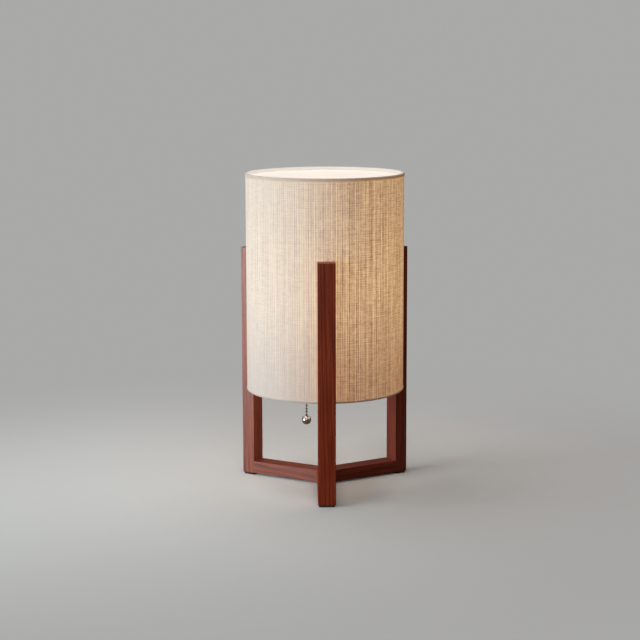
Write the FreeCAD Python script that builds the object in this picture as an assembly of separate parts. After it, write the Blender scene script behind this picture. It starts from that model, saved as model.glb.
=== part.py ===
import FreeCAD, Part
import math
import os

# A table lantern, in millimetres. The origin is on the table under the shade's axis, +Z is up,
# and the front post stands towards -Y.

V = FreeCAD.Vector
origin = V(0, 0, 0)
along_x = V(1, 0, 0)
along_y = V(0, 1, 0)
up = V(0, 0, 1)

# How the lantern stands
front_angle = -90.0
right_angle = 30.0
left_angle = 150.0
chain_angle = 210.0  # the pull chain hangs midway between the front and left posts

# Clearances
glue_gap = 0.05  # between glued, laminated or pressed pieces
screw_gap = 0.2  # around a screw in a plain hole, on the radius
run_gap = 0.05  # between a pin and what turns on it, on the radius
overrun = 1.0  # how far a cutter passes the face that it cuts
same_way = 0.999  # least cosine between an edge and the direction that it counts as running in

# Shade
shade_radius = 106.5  # outside of the cloth
shade_bottom = 134.0
shade_top = 428.5
fabric_thickness = 0.7
liner_thickness = 0.8
ring_wire_radius = 1.3
trim_thickness = 0.4
top_trim_height = 4.6
bottom_trim_height = 3.0
trim_round = 0.3
seam_width = 12.0
seam_angle = 90.0  # the lap is at the back

# Timber frame
post_gap = 1.4  # between the cloth and a post
post_width = 23.5
post_depth = 18.5
post_top = 322.0
rail_height = 17.0
arris = 0.8  # rounding of the timber's edges
pad_height = 2.5
pad_inset = 1.2
pad_corner = 2.0
post_dowel_radius = 3.0
post_dowel_length = 24.0
post_dowel_spacing = 12.0
mitre_dowel_radius = 2.5
mitre_dowel_length = 14.0
mitre_dowel_reach = 7.5  # from the axis to a dowel's middle
dowel_chamfer = 0.6
dowel_end_gap = 0.5

# Bracket and its fastenings
bracket_level = 146.0  # underside of the arms
sheet_thickness = 1.6
arm_width = 12.0
bend_radius = 1.5  # inside of the bend
tab_top = 163.0
tab_corner = 3.0
arm_screw_level = 156.0
hub_radius = 18.0
screw_radius = 2.0
screw_head_radius = 3.75
screw_head_height = 2.4
screw_reach = 9.0  # past the post's face
slot_width = 1.0
slot_depth = 1.2
insert_radius = 3.5
insert_length = 10.0
insert_end_gap = 1.0
spacer_radius = 4.5

# Nipple, nuts, washer and cord bushing
nipple_radius = 5.0
nipple_bore = 3.9
nipple_below = 7.0  # past the bracket's underside
nipple_above = 8.4  # past the bracket's upper face
nipple_chamfer = 0.5
nut_across_flats = 14.0
nut_height = 3.0
nut_chamfer = 0.5
washer_thickness = 1.0
washer_width = 3.0
washer_slit = 1.2
bushing_flange_radius = 6.0
bushing_flange_height = 1.5
bushing_length = 6.0
bushing_bore = 3.1

# Lampholder
holder_radius = 21.0
holder_wall = 2.5
holder_floor = 3.0
holder_height = 30.0
boss_half_width = 9.0
deck_thickness = 4.0
shroud_radius = 18.0
shroud_wall = 2.8
shroud_height = 28.0
shroud_round = 1.0
pillar_radius = 3.0
pillar_reach = 14.5
pillar_angle = 75.0
body_screw_radius = 1.4
body_screw_head_radius = 2.6
body_screw_head_height = 2.0
body_screw_bite = 3.0
screw_shell_bore = 13.55
screw_shell_thickness = 0.4
screw_shell_height = 26.0
screw_shell_flange_bore = 9.5
shell_rivet_reach = 11.5
rivet_radius = 0.9
rivet_head_radius = 1.6
rivet_head_height = 0.7
rivet_bite = 1.5  # into the moulding
rivet_end_gap = 0.3
contact_thickness = 0.5
contact_width = 6.0
contact_back = 8.5  # from the axis to the strip's riveted end
contact_flat = 3.5
contact_front = 3.0
contact_rise = 3.6
terminal_reach = 11.0
terminal_spread = 7.0
terminal_width = 7.0
terminal_height = 9.0
terminal_thickness = 1.0
terminal_foot = 3.5
terminal_screw_radius = 1.5
terminal_screw_level = 5.5  # above the plate's foot
terminal_head_radius = 2.8
terminal_head_height = 1.6
terminal_screw_length = 4.0

# Pull switch
pull_travel = 8.0
pivot_height = 13.4  # above the chamber's floor
pin_radius = 1.25
pin_socket = 1.8  # how deep each end of the pin sits in the wall
lever_thickness = 3.0
lever_depth = 4.0
lever_hub_radius = 4.0
fork_width = 7.0
fork_thickness = 1.2
fork_length = 8.0
fork_beyond = 3.5  # past the chain's line
fork_slot = 2.2
bush_radius = 2.4
side_gap = 0.5  # between pieces side by side on the pin
rotor_radius = 5.5
rotor_root = 3.6
rotor_thickness = 3.4
rotor_teeth = 4
rotor_ramp_share = 0.84  # share of a tooth's angle that is ramp
blade_thickness = 0.5
blade_gap = 0.4  # between a blade and the rotor's tips
blade_nut_gap = 1.1  # between the inner blade and the nipple's nut
blade_height = 23.0
blade_foot = 4.0
blade_rivet_inset = 1.2  # from the foot's end to its rivet
spring_radius = 2.2  # to the middle of the wire
spring_wire = 0.35
spring_turns = 6
spring_hub_gap = 1.45  # between the spring and the lever's hub
spring_flange_gap = 0.75  # between the spring and the eyelet's flange
spring_gap = 0.3

# Pull chain
bead_radius = 1.6
bead_wall = 0.35
bead_hole = 0.5
bead_pitch = 4.2
link_radius = 0.35
link_head_radius = 0.55
link_head_offset = 0.62  # from a bead's middle to the link's head
upper_beads = 6
lower_beads = 8
knuckle_angle = 48.0  # half the opening of the cones in the knuckle bead
hanger_head_radius = 2.0
hanger_head_height = 1.2
hanger_head_gap = 0.75
hanger_stem_radius = 0.6
hanger_drop = 6.8  # from the head's underside to the cup's first bead
cup_radius = 2.3
cup_wall = 0.4
cup_above = 2.6
cup_below = 1.4
eyelet_bore = 2.0
eyelet_wall = 1.2
eyelet_flange = 4.0
eyelet_flange_height = 0.8
eyelet_below = 4.2  # past the lampholder's underside
eyelet_mouth = 1.4  # height and flare of the mouth
ball_radius = 6.4
dimple_offset = 7.1  # from the ball's middle to the bead in its dimple
dimple_gap = 0.25
ball_mouth = 1.1

# Bulb
bulb_tip_gap = 0.5  # above the centre contact
bulb_tip_radius = 4.8
bulb_tip_height = 1.0
insulator_height = 3.5
insulator_radius = 5.6
cap_root = 12.55
cap_crest = 13.05
cap_wall = 0.4
thread_pitch = 3.63
thread_turns = 5
cap_skirt = 4.5
neck_radius = 11.8
neck_length = 12.0
bulb_radius = 30.0
bulb_waist_radius = 14.0
bulb_waist_height = 9.0  # above the cap's rim
bulb_middle_height = 51.0  # above the cap's rim
glass_thickness = 1.0
stem_foot_radius = 9.0
stem_radius = 2.6
stem_height = 26.0
stem_flare = 8.0
cage_radius = 7.5
cage_plate = 0.6
cage_rod = 0.8
filament_radius = 0.9
filament_length = 30.0
filament_reach = 6.2
filament_count = 4
driver_radius = 10.0
driver_thickness = 1.6
driver_part_size = 7.0
driver_part_height = 5.0

# Places that follow from the sizes
post_angles = {"front": front_angle, "right": right_angle, "left": left_angle}
rail_angle = left_angle - right_angle
post_face = shade_radius + post_gap
liner_radius = shade_radius - fabric_thickness - glue_gap
liner_bore = liner_radius - liner_thickness
wall_bottom = shade_bottom + trim_thickness + glue_gap
wall_top = shade_top - trim_thickness - glue_gap
ring_radius = liner_bore - glue_gap - ring_wire_radius
bracket_top = bracket_level + sheet_thickness
tab_face = math.sqrt(liner_bore**2 - (arm_width / 2) ** 2) - glue_gap
floor_top = bracket_top + holder_floor
deck_bottom = bracket_top + holder_height
deck_top = deck_bottom + deck_thickness
chamber_half_width = boss_half_width - holder_wall
pivot_reach = nut_across_flats / 2 + blade_nut_gap + blade_thickness + blade_gap + rotor_radius
pivot_level = floor_top + pivot_height
spring_outer = spring_radius + spring_wire
spring_reach = lever_hub_radius + spring_hub_gap + spring_outer
lever_reach = spring_reach + spring_outer + spring_flange_gap + eyelet_flange
chain_reach = pivot_reach + lever_reach  # from the lantern's axis to the chain
rest_angle = math.degrees(math.atan(pull_travel / 2 / lever_reach))
rotor_side = lever_thickness / 2 + side_gap
fork_level = pivot_level + pull_travel / 2
fork_half = fork_thickness / 2 / math.cos(math.radians(rest_angle))
hanger_level = fork_level + fork_half + hanger_head_gap
first_bead = hanger_level - hanger_drop
knuckle_level = first_bead - upper_beads * bead_pitch
dimple_level = knuckle_level - (lower_beads + 1) * bead_pitch
ball_level = dimple_level - dimple_offset
bulb_level = deck_top + contact_thickness + contact_rise + bulb_tip_gap
cap_bottom = bulb_level + bulb_tip_height + insulator_height
cap_top = cap_bottom + thread_turns * thread_pitch + cap_skirt
bulb_middle = cap_top + bulb_middle_height


def turn(shape, angle):
    return shape.rotated(origin, up, angle)


def around(make):
    # the same piece at each of the three posts, in the order of post_angles
    return [turn(make, angle) for angle in post_angles.values()]


def lathe(points):
    # a body turned about Z from (radius, height) corners
    corners = [V(radius, 0, height) for radius, height in points]
    return Part.Face(Part.makePolygon(corners + corners[:1])).revolve(origin, up, 360)


def tube(outer, bore, bottom, height):
    return lathe([(bore, bottom), (outer, bottom), (outer, bottom + height), (bore, bottom + height)])


def rod(radius, length, chamfer):
    # a chamfered rod standing on the origin
    return lathe(
        [
            (0, 0),
            (radius - chamfer, 0),
            (radius, chamfer),
            (radius, length - chamfer),
            (radius - chamfer, length),
            (0, length),
        ]
    )


def to_x(shape):
    # turns what stands along Z so that it points along X
    return shape.rotated(origin, along_y, 90)


def to_y(shape):
    # turns what stands along Z so that it points along Y
    return shape.rotated(origin, along_x, -90)


def box(x0, x1, y0, y1, z0, z1):
    return Part.makeBox(x1 - x0, y1 - y0, z1 - z0, V(x0, y0, z0))


def prism_y(points, y0, y1):
    # (x, z) corners drawn out along Y
    corners = [V(x, y0, z) for x, z in points]
    return Part.Face(Part.makePolygon(corners + corners[:1])).extrude(V(0, y1 - y0, 0))


def at_level(shape, level):
    # the shape's edges that lie flat at one height
    return [e for e in shape.Edges if all(abs(v.Z - level) < glue_gap for v in e.Vertexes)]


def along(shape, direction):
    # the shape's straight edges that run one way
    lines = [e for e in shape.Edges if isinstance(e.Curve, Part.Line)]
    return [e for e in lines if abs(e.tangentAt(e.FirstParameter).dot(direction)) > same_way]


def save(node, solids):
    if not isinstance(solids, list):
        solids = [solids]
    parts = [s for shape in solids for s in shape.Solids]
    for part in parts:
        if not part.isValid() or part.Volume <= 0:
            raise ValueError("bad solid in " + node)
    shape = parts[0] if len(parts) == 1 else Part.makeCompound(parts)
    shape.exportStep("parts/" + node + ".step")
    print(node, len(parts), round(sum(p.Volume for p in parts), 1))


# Timber frame


def post_dowel():
    return to_x(rod(post_dowel_radius, post_dowel_length, dowel_chamfer)).translated(
        V(post_face - post_dowel_length / 2, 0, pad_height + rail_height / 2)
    )


def post_dowel_pair():
    half = post_dowel_spacing / 2
    return [post_dowel().translated(V(0, side * half, 0)) for side in (-1, 1)]


def post_dowel_holes():
    length = post_dowel_length + 2 * dowel_end_gap
    hole = Part.makeCylinder(post_dowel_radius + glue_gap, length, origin, along_x)
    hole.translate(V(post_face - length / 2, 0, pad_height + rail_height / 2))
    half = post_dowel_spacing / 2
    return [hole.translated(V(0, side * half, 0)) for side in (-1, 1)]


def insert_hole():
    start = V(post_face - overrun, 0, arm_screw_level)
    length = overrun + insert_length + insert_end_gap
    return Part.makeCylinder(insert_radius + glue_gap, length, start, along_x)


def post():
    half = post_width / 2
    body = box(post_face, post_face + post_depth, -half, half, pad_height, post_top)
    body = body.makeFillet(arris, body.Edges)
    # the edges towards the rail stay sharp where it butts against them
    low = pad_height + arris
    high = pad_height + rail_height - arris
    square = box(post_face, post_face + arris, -half, half, low, high)
    body = body.fuse(square).removeSplitter()
    return body.cut([insert_hole()] + post_dowel_holes())


def mitre_dowel(radius, length):
    # lies square across the mitre on the rail's anticlockwise side
    stick = rod(radius, length, dowel_chamfer)
    stick = to_y(stick).translated(V(mitre_dowel_reach, -length / 2, pad_height + rail_height / 2))
    return turn(stick, rail_angle / 2)


def rail():
    half = post_width / 2
    body = box(-overrun, post_face, -half, half, pad_height, pad_height + rail_height)
    body = body.makeFillet(arris, along(body, along_x))
    shoulder = half / math.tan(math.radians(rail_angle / 2))
    corners = [(0, 0), (shoulder, half), (post_face, half), (post_face, -half), (shoulder, -half)]
    outline = [V(x, y, 0) for x, y in corners]
    wedge = Part.Face(Part.makePolygon(outline + outline[:1])).extrude(V(0, 0, pad_height + rail_height))
    body = body.common(wedge)
    hole = mitre_dowel(mitre_dowel_radius + glue_gap, mitre_dowel_length + 2 * dowel_end_gap)
    return body.cut(post_dowel_holes() + [hole, turn(hole, -rail_angle)])


def foot_pad():
    half = post_width / 2 - pad_inset
    body = box(post_face + pad_inset, post_face + post_depth - pad_inset, -half, half, 0, pad_height)
    return body.makeFillet(pad_corner, along(body, up))


# Shade


def screw_hole(radius):
    start = V(tab_face - sheet_thickness - overrun, 0, arm_screw_level)
    return Part.makeCylinder(radius, post_face - start.x + overrun, start, along_x)


def wall_holes():
    return around(screw_hole(screw_radius + screw_gap))


def shade_fabric():
    skin = tube(shade_radius, shade_radius - fabric_thickness, wall_bottom, wall_top - wall_bottom)
    return skin.cut(wall_holes())


def shade_liner():
    sheet = tube(liner_radius, liner_bore, wall_bottom, wall_top - wall_bottom)
    return sheet.cut(wall_holes())


def shade_seam():
    outer = shade_radius + glue_gap + trim_thickness
    inner = shade_radius + glue_gap
    sweep = math.degrees(seam_width / shade_radius)
    bottom = shade_bottom + bottom_trim_height + glue_gap
    height = shade_top - top_trim_height - glue_gap - bottom
    lap = Part.makeCylinder(outer, height, V(0, 0, bottom), up, sweep)
    lap = lap.cut(Part.makeCylinder(inner, height, V(0, 0, bottom), up))
    return turn(lap, seam_angle - sweep / 2)


def shade_ring(level):
    return Part.makeTorus(ring_radius, ring_wire_radius, V(0, 0, level), up)


def shade_trim(edge, height):
    # a channel of cloth over the wall's edge and its wire ring, with its back at the height "edge"
    outer = shade_radius + glue_gap + trim_thickness
    inner = ring_radius - ring_wire_radius - glue_gap - trim_thickness
    way = -1 if height > 0 else 1
    back = edge + way * trim_thickness
    lip = edge - height
    body = lathe(
        [
            (inner, edge),
            (outer, edge),
            (outer, lip),
            (outer - trim_thickness, lip),
            (outer - trim_thickness, back),
            (inner + trim_thickness, back),
            (inner + trim_thickness, lip),
            (inner, lip),
        ]
    )
    return body.makeFillet(trim_round, at_level(body, edge))


# Bracket and its fastenings


def bracket_arm():
    bend = bend_radius + sheet_thickness
    corner = V(tab_face - bend, 0, bracket_level + bend)
    half_turn = math.sqrt(0.5)
    outer_mid = corner + V(bend * half_turn, 0, -bend * half_turn)
    inner_mid = corner + V(bend_radius * half_turn, 0, -bend_radius * half_turn)
    hub = V(0, 0, bracket_level)
    under = V(corner.x, 0, bracket_level)
    outer = V(tab_face, 0, corner.z)
    tip = V(tab_face, 0, tab_top)
    tip_in = V(tab_face - sheet_thickness, 0, tab_top)
    inner = V(tab_face - sheet_thickness, 0, corner.z)
    over = V(corner.x, 0, bracket_top)
    hub_top = V(0, 0, bracket_top)
    edges = [
        Part.LineSegment(hub, under).toShape(),
        Part.Arc(under, outer_mid, outer).toShape(),
        Part.LineSegment(outer, tip).toShape(),
        Part.LineSegment(tip, tip_in).toShape(),
        Part.LineSegment(tip_in, inner).toShape(),
        Part.Arc(inner, inner_mid, over).toShape(),
        Part.LineSegment(over, hub_top).toShape(),
        Part.LineSegment(hub_top, hub).toShape(),
    ]
    strip = Part.Face(Part.Wire(edges)).extrude(V(0, arm_width, 0))
    strip.translate(V(0, -arm_width / 2, 0))
    corners = [e for e in along(strip, along_x) if e.Vertexes[0].Z > tab_top - glue_gap]
    return strip.makeFillet(tab_corner, corners)


def arm_bracket():
    hub = Part.makeCylinder(hub_radius, sheet_thickness, V(0, 0, bracket_level), up)
    body = hub.fuse(around(bracket_arm())).removeSplitter()
    start = V(0, 0, bracket_level - overrun)
    hole = Part.makeCylinder(nipple_radius + run_gap, sheet_thickness + 2 * overrun, start)
    return body.cut([hole] + wall_holes())


def arm_screw():
    seat = tab_face - sheet_thickness - glue_gap
    length = post_face + screw_reach - seat
    head = screw_head_height
    body = lathe(
        [
            (0, -head),
            (screw_head_radius - head / 2, -head),
            (screw_head_radius, -head / 2),
            (screw_head_radius, 0),
            (screw_radius, 0),
            (screw_radius, length - screw_radius / 2),
            (screw_radius / 2, length),
            (0, length),
        ]
    )
    half = slot_width / 2
    slot = box(-screw_head_radius, screw_head_radius, -half, half, -head - overrun, slot_depth - head)
    return to_x(body.cut(slot)).translated(V(seat, 0, arm_screw_level))


def post_spacer():
    ring = tube(spacer_radius, screw_radius + screw_gap, 0, post_gap - glue_gap)
    return to_x(ring).translated(V(shade_radius + glue_gap, 0, arm_screw_level))


def post_insert():
    sleeve = tube(insert_radius, screw_radius + run_gap, 0, insert_length)
    return to_x(sleeve).translated(V(post_face, 0, arm_screw_level))


# Nipple, nuts, washer and cord bushing


def nipple():
    bottom = bracket_level - nipple_below
    top = bracket_top + nipple_above
    slope = nipple_chamfer
    return lathe(
        [
            (nipple_bore, bottom),
            (nipple_radius - slope, bottom),
            (nipple_radius, bottom + slope),
            (nipple_radius, top - slope),
            (nipple_radius - slope, top),
            (nipple_bore, top),
        ]
    )


def hex_nut(bottom):
    across_corners = nut_across_flats / 2 / math.cos(math.radians(30))
    corners = []
    for k in range(6):
        angle = math.radians(60 * k + 30)
        corners.append(V(across_corners * math.cos(angle), across_corners * math.sin(angle), bottom))
    block = Part.Face(Part.makePolygon(corners + corners[:1])).extrude(V(0, 0, nut_height))
    slope = nut_chamfer
    facing = lathe(
        [
            (nipple_radius + run_gap, bottom),
            (across_corners - slope, bottom),
            (across_corners, bottom + slope),
            (across_corners, bottom + nut_height - slope),
            (across_corners - slope, bottom + nut_height),
            (nipple_radius + run_gap, bottom + nut_height),
        ]
    )
    return block.common(facing)


def nipple_nuts():
    lower = hex_nut(bracket_level - washer_thickness - nut_height)
    return [lower, hex_nut(floor_top)]


def lock_washer():
    bore = nipple_radius + run_gap
    ring = tube(bore + washer_width, bore, bracket_level - washer_thickness, washer_thickness)
    half = washer_slit / 2
    slit = box(0, bore + washer_width + overrun, -half, half, bracket_level - washer_thickness, bracket_level)
    return ring.cut(slit)


def cord_bushing():
    rim = bracket_level - nipple_below
    sleeve = nipple_bore - run_gap
    return lathe(
        [
            (bushing_bore, rim - bushing_flange_height),
            (bushing_flange_radius, rim - bushing_flange_height),
            (bushing_flange_radius, rim),
            (sleeve, rim),
            (sleeve, rim + bushing_length),
            (bushing_bore, rim + bushing_length),
        ]
    )


# Lampholder, drawn with its switch boss towards +X


def holder_block(inset, bottom, height):
    drum = Part.makeCylinder(holder_radius - inset, height, V(0, 0, bottom))
    half = boss_half_width - inset
    boss = box(0, chain_reach, -half, half, bottom, bottom + height)
    end = Part.makeCylinder(half, height, V(chain_reach, 0, bottom))
    return drum.fuse([boss, end]).removeSplitter()


def at_pillars(shape):
    spot = shape.translated(V(pillar_reach, 0, 0))
    return [turn(spot, side * pillar_angle) for side in (-1, 1)]


def rivet(depth):
    # a dome-headed rivet through whatever lies on the face at zero
    return lathe(
        [
            (0, -depth),
            (rivet_radius, -depth),
            (rivet_radius, 0),
            (rivet_head_radius, 0),
            (rivet_head_radius, rivet_head_height / 2),
            (rivet_head_radius / 2, rivet_head_height),
            (0, rivet_head_height),
        ]
    )


def blade_rivet_place(side):
    # on the foot's upper face, like the places below
    out = rotor_radius + blade_gap + blade_thickness - blade_foot + blade_rivet_inset
    level = floor_top + glue_gap + blade_thickness + glue_gap
    return V(pivot_reach + side * out, rotor_side + rotor_thickness / 2, level)


def terminal_rivet_place(side):
    level = floor_top + glue_gap + terminal_thickness + glue_gap
    return V(-terminal_reach + terminal_foot / 2, side * terminal_spread, level)


def floor_rivets():
    blade_rivet = rivet(blade_thickness + rivet_bite)
    terminal_rivet = rivet(terminal_thickness + rivet_bite)
    found = [blade_rivet.translated(blade_rivet_place(side)) for side in (-1, 1)]
    return found + [terminal_rivet.translated(terminal_rivet_place(side)) for side in (-1, 1)]


def rivet_hole(place, face):
    # the blind hole under a rivet, in the moulding whose face is at the height "face"
    depth = rivet_bite + rivet_end_gap
    start = V(place.x, place.y, face - depth)
    return Part.makeCylinder(rivet_radius + run_gap, depth + overrun, start)


def rivet_way(place, thickness):
    # the hole for a rivet through a sheet of this thickness
    start = V(place.x, place.y, place.z - thickness - overrun)
    return Part.makeCylinder(rivet_radius + run_gap, thickness + 2 * overrun, start)


def pin_axis_hole(radius, length):
    start = V(pivot_reach, -length / 2, pivot_level)
    return Part.makeCylinder(radius, length, start, along_y)


def body_screw_shaft(radius):
    bottom = bracket_top + body_screw_head_height
    length = deck_bottom + body_screw_bite - bottom
    return Part.makeCylinder(radius, length, V(0, 0, bottom))


def lampholder_base():
    body = holder_block(0, bracket_top, holder_height)
    chamber = holder_block(holder_wall, floor_top, holder_height)
    body = body.cut(chamber)
    pillar = Part.makeCylinder(pillar_radius, holder_height, V(0, 0, bracket_top))
    body = body.fuse(at_pillars(pillar))
    start = V(0, 0, bracket_top - overrun)
    through = holder_floor + 2 * overrun
    eyelet_hole = Part.makeCylinder(eyelet_bore + eyelet_wall + run_gap, through, start)
    cuts = [
        Part.makeCylinder(nipple_radius + run_gap, through, start),
        eyelet_hole.translated(V(chain_reach, 0, 0)),
        pin_axis_hole(pin_radius + run_gap, 2 * (chamber_half_width + pin_socket)),
    ]
    head_depth = overrun + body_screw_head_height
    cuts += at_pillars(Part.makeCylinder(body_screw_head_radius + screw_gap, head_depth, start))
    cuts += at_pillars(Part.makeCylinder(body_screw_radius + screw_gap, holder_height + 2 * overrun, start))
    for side in (-1, 1):
        cuts.append(rivet_hole(blade_rivet_place(side), floor_top))
        cuts.append(rivet_hole(terminal_rivet_place(side), floor_top))
    return body.cut(cuts)


def lampholder_shroud():
    deck = holder_block(0, deck_bottom, deck_thickness)
    barrel = Part.makeCylinder(shroud_radius, shroud_height, V(0, 0, deck_top))
    barrel = barrel.makeFillet(shroud_round, at_level(barrel, deck_top + shroud_height))
    body = deck.fuse(barrel)
    bore = Part.makeCylinder(shroud_radius - shroud_wall, shroud_height + overrun, V(0, 0, deck_top))
    cuts = [bore]
    cuts += at_pillars(body_screw_shaft(body_screw_radius + run_gap))
    cuts += [rivet_hole(place, deck_top) for place in shell_rivet_places() + [contact_rivet_place()]]
    return body.cut(cuts)


def lampholder_screws():
    bottom = bracket_top + glue_gap
    head = lathe(
        [
            (0, bottom),
            (body_screw_head_radius, bottom),
            (body_screw_head_radius, bottom + body_screw_head_height - glue_gap),
            (0, bottom + body_screw_head_height - glue_gap),
        ]
    )
    half = slot_width / 2
    slot_top = bottom + slot_depth / 2
    slot = box(-body_screw_head_radius, body_screw_head_radius, -half, half, bottom - overrun, slot_top)
    shaft = body_screw_shaft(body_screw_radius).translated(V(0, 0, -glue_gap))
    return at_pillars(head.fuse(shaft).removeSplitter().cut(slot))


def shell_rivet_places():
    level = deck_top + glue_gap + screw_shell_thickness + glue_gap
    return [V(0, side * shell_rivet_reach, level) for side in (-1, 1)]


def contact_rivet_place():
    level = deck_top + glue_gap + contact_thickness + glue_gap
    return V(-contact_back + contact_flat / 2, 0, level)


def screw_shell():
    bottom = deck_top + glue_gap
    outer = screw_shell_bore + screw_shell_thickness
    flange_top = bottom + screw_shell_thickness
    body = lathe(
        [
            (screw_shell_flange_bore, bottom),
            (outer, bottom),
            (outer, bottom + screw_shell_height),
            (screw_shell_bore, bottom + screw_shell_height),
            (screw_shell_bore, flange_top),
            (screw_shell_flange_bore, flange_top),
        ]
    )
    return body.cut([rivet_way(place, screw_shell_thickness) for place in shell_rivet_places()])


def shell_rivets():
    return [rivet(screw_shell_thickness + rivet_bite).translated(place) for place in shell_rivet_places()]


def centre_rivet():
    return rivet(contact_thickness + rivet_bite).translated(contact_rivet_place())


def centre_contact():
    # a springy strip that rises to the bulb's tip
    bottom = deck_top + glue_gap
    bend = -contact_back + contact_flat
    thick = contact_thickness
    strip = prism_y(
        [
            (-contact_back, bottom),
            (bend, bottom),
            (contact_front, bottom + contact_rise - thick),
            (contact_front, bottom + contact_rise),
            (bend, bottom + thick),
            (-contact_back, bottom + thick),
        ],
        -contact_width / 2,
        contact_width / 2,
    )
    return strip.cut(rivet_way(contact_rivet_place(), thick))


def terminal_plate(side):
    bottom = floor_top + glue_gap
    thick = terminal_thickness
    back = -terminal_reach
    plate = prism_y(
        [
            (back - thick, bottom),
            (back + terminal_foot, bottom),
            (back + terminal_foot, bottom + thick),
            (back, bottom + thick),
            (back, bottom + terminal_height),
            (back - thick, bottom + terminal_height),
        ],
        side * terminal_spread - terminal_width / 2,
        side * terminal_spread + terminal_width / 2,
    )
    level = bottom + terminal_screw_level
    hole = Part.makeCylinder(
        terminal_screw_radius + run_gap,
        thick + 2 * overrun,
        V(back - thick - overrun, side * terminal_spread, level),
        along_x,
    )
    return plate.cut([hole, rivet_way(terminal_rivet_place(side), thick)])


def terminal_screw(side):
    body = lathe(
        [
            (0, -terminal_head_height),
            (terminal_head_radius, -terminal_head_height),
            (terminal_head_radius, 0),
            (terminal_screw_radius, 0),
            (terminal_screw_radius, terminal_screw_length),
            (0, terminal_screw_length),
        ]
    )
    half = slot_width / 2
    reach = terminal_head_radius
    head = terminal_head_height
    slot = box(-reach, reach, -half, half, -head - overrun, slot_depth / 2 - head)
    level = floor_top + glue_gap + terminal_screw_level
    place = V(-terminal_reach - terminal_thickness - glue_gap, side * terminal_spread, level)
    return to_x(body.cut(slot)).translated(place)


# Pull switch, drawn with the chain towards +X


def tipped(shape):
    # raises a piece drawn level about the lever's pin to its place at rest
    return shape.rotated(V(pivot_reach, 0, pivot_level), along_y, -rest_angle)


def switch_lever():
    half = lever_thickness / 2
    hub = Part.makeCylinder(lever_hub_radius, lever_thickness, V(pivot_reach, -half, pivot_level), along_y)
    fork_start = chain_reach + fork_beyond - fork_length
    arm_end = fork_start + lever_depth / 2
    under = pivot_level - lever_depth / 2
    arm = box(pivot_reach, arm_end, -half, half, under, under + lever_depth)
    fork = box(
        fork_start,
        chain_reach + fork_beyond,
        -fork_width / 2,
        fork_width / 2,
        pivot_level - fork_thickness / 2,
        pivot_level + fork_thickness / 2,
    )
    body = hub.fuse([arm, fork]).removeSplitter()
    slot = box(
        chain_reach - fork_slot / 2,
        chain_reach + fork_beyond + overrun,
        -fork_slot / 2,
        fork_slot / 2,
        pivot_level - lever_depth,
        pivot_level + lever_depth,
    )
    bore = pin_axis_hole(pin_radius + run_gap, lever_thickness + 2 * overrun)
    return tipped(body.cut([slot, bore]))


def lever_pin():
    length = 2 * (chamber_half_width + pin_socket - run_gap)
    pin = to_y(rod(pin_radius, length, nut_chamfer))
    return pin.translated(V(pivot_reach, -length / 2, pivot_level))


def pin_bush():
    start = -chamber_half_width + side_gap / 2
    length = -lever_thickness / 2 - side_gap / 2 - start
    ring = to_y(tube(bush_radius, pin_radius + run_gap, 0, length))
    return ring.translated(V(pivot_reach, start, pivot_level))


def switch_rotor():
    # a ratchet wheel: each tooth rises along a ramp and drops at once
    step = 2 * math.pi / rotor_teeth
    corners = []
    for k in range(rotor_teeth):
        for radius, angle in ((rotor_root, k * step), (rotor_radius, (k + rotor_ramp_share) * step)):
            corners.append((pivot_reach + radius * math.cos(angle), pivot_level + radius * math.sin(angle)))
    wheel = prism_y(corners, rotor_side, rotor_side + rotor_thickness)
    bore = pin_axis_hole(pin_radius + run_gap, 4 * boss_half_width)
    return wheel.cut(bore)


def contact_blade(side):
    near = rotor_radius + blade_gap
    far = near + blade_thickness
    bottom = floor_top + glue_gap
    corners = [
        (pivot_reach + side * far, bottom),
        (pivot_reach + side * far, bottom + blade_height),
        (pivot_reach + side * near, bottom + blade_height),
        (pivot_reach + side * near, bottom + blade_thickness),
        (pivot_reach + side * (far - blade_foot), bottom + blade_thickness),
        (pivot_reach + side * (far - blade_foot), bottom),
    ]
    strip = prism_y(corners, rotor_side, rotor_side + rotor_thickness)
    return strip.cut(rivet_way(blade_rivet_place(side), blade_thickness))


def return_spring():
    bottom = floor_top + spring_gap + spring_wire
    rise = (spring_reach - spring_radius) * math.tan(math.radians(rest_angle))
    lever_under = pivot_level + rise - lever_depth / 2
    top = lever_under - 2 * spring_gap - spring_wire
    coil = Part.makeHelix((top - bottom) / spring_turns, top - bottom, spring_radius)
    wire = Part.Wire(Part.makeCircle(spring_wire, V(spring_radius, 0, 0), along_y))
    body = Part.Wire(coil).makePipeShell([wire], True, True)
    return body.translated(V(pivot_reach + spring_reach, 0, bottom))


def chain_eyelet():
    top = floor_top + glue_gap
    bottom = bracket_top - eyelet_below
    outer = eyelet_bore + eyelet_wall
    flare = eyelet_mouth
    body = lathe(
        [
            (eyelet_bore + flare, bottom),
            (outer + flare, bottom),
            (outer + flare, bottom + flare / 2),
            (outer, bottom + 2 * flare),
            (outer, top),
            (eyelet_flange, top),
            (eyelet_flange, top + eyelet_flange_height),
            (eyelet_bore, top + eyelet_flange_height),
            (eyelet_bore, bottom + flare),
        ]
    )
    return body.translated(V(chain_reach, 0, 0))


# Pull chain, drawn on the Z axis and then moved out to its line


def bead(level):
    inner = bead_radius - bead_wall
    hole = Part.makeCylinder(bead_hole, 4 * bead_radius, V(0, 0, -2 * bead_radius))
    ball = Part.makeSphere(bead_radius).cut([Part.makeSphere(inner), hole])
    return ball.translated(V(0, 0, level))


def link(upper, lower):
    # a dumb-bell wire from the bead at the height "upper" to the one at "lower"
    top = upper - link_head_offset
    bottom = lower + link_head_offset
    wire = Part.makeCylinder(link_radius, top - bottom, V(0, 0, bottom))
    heads = [Part.makeSphere(link_head_radius, V(0, 0, level)) for level in (top, bottom)]
    return wire.fuse(heads).removeSplitter()


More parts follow.
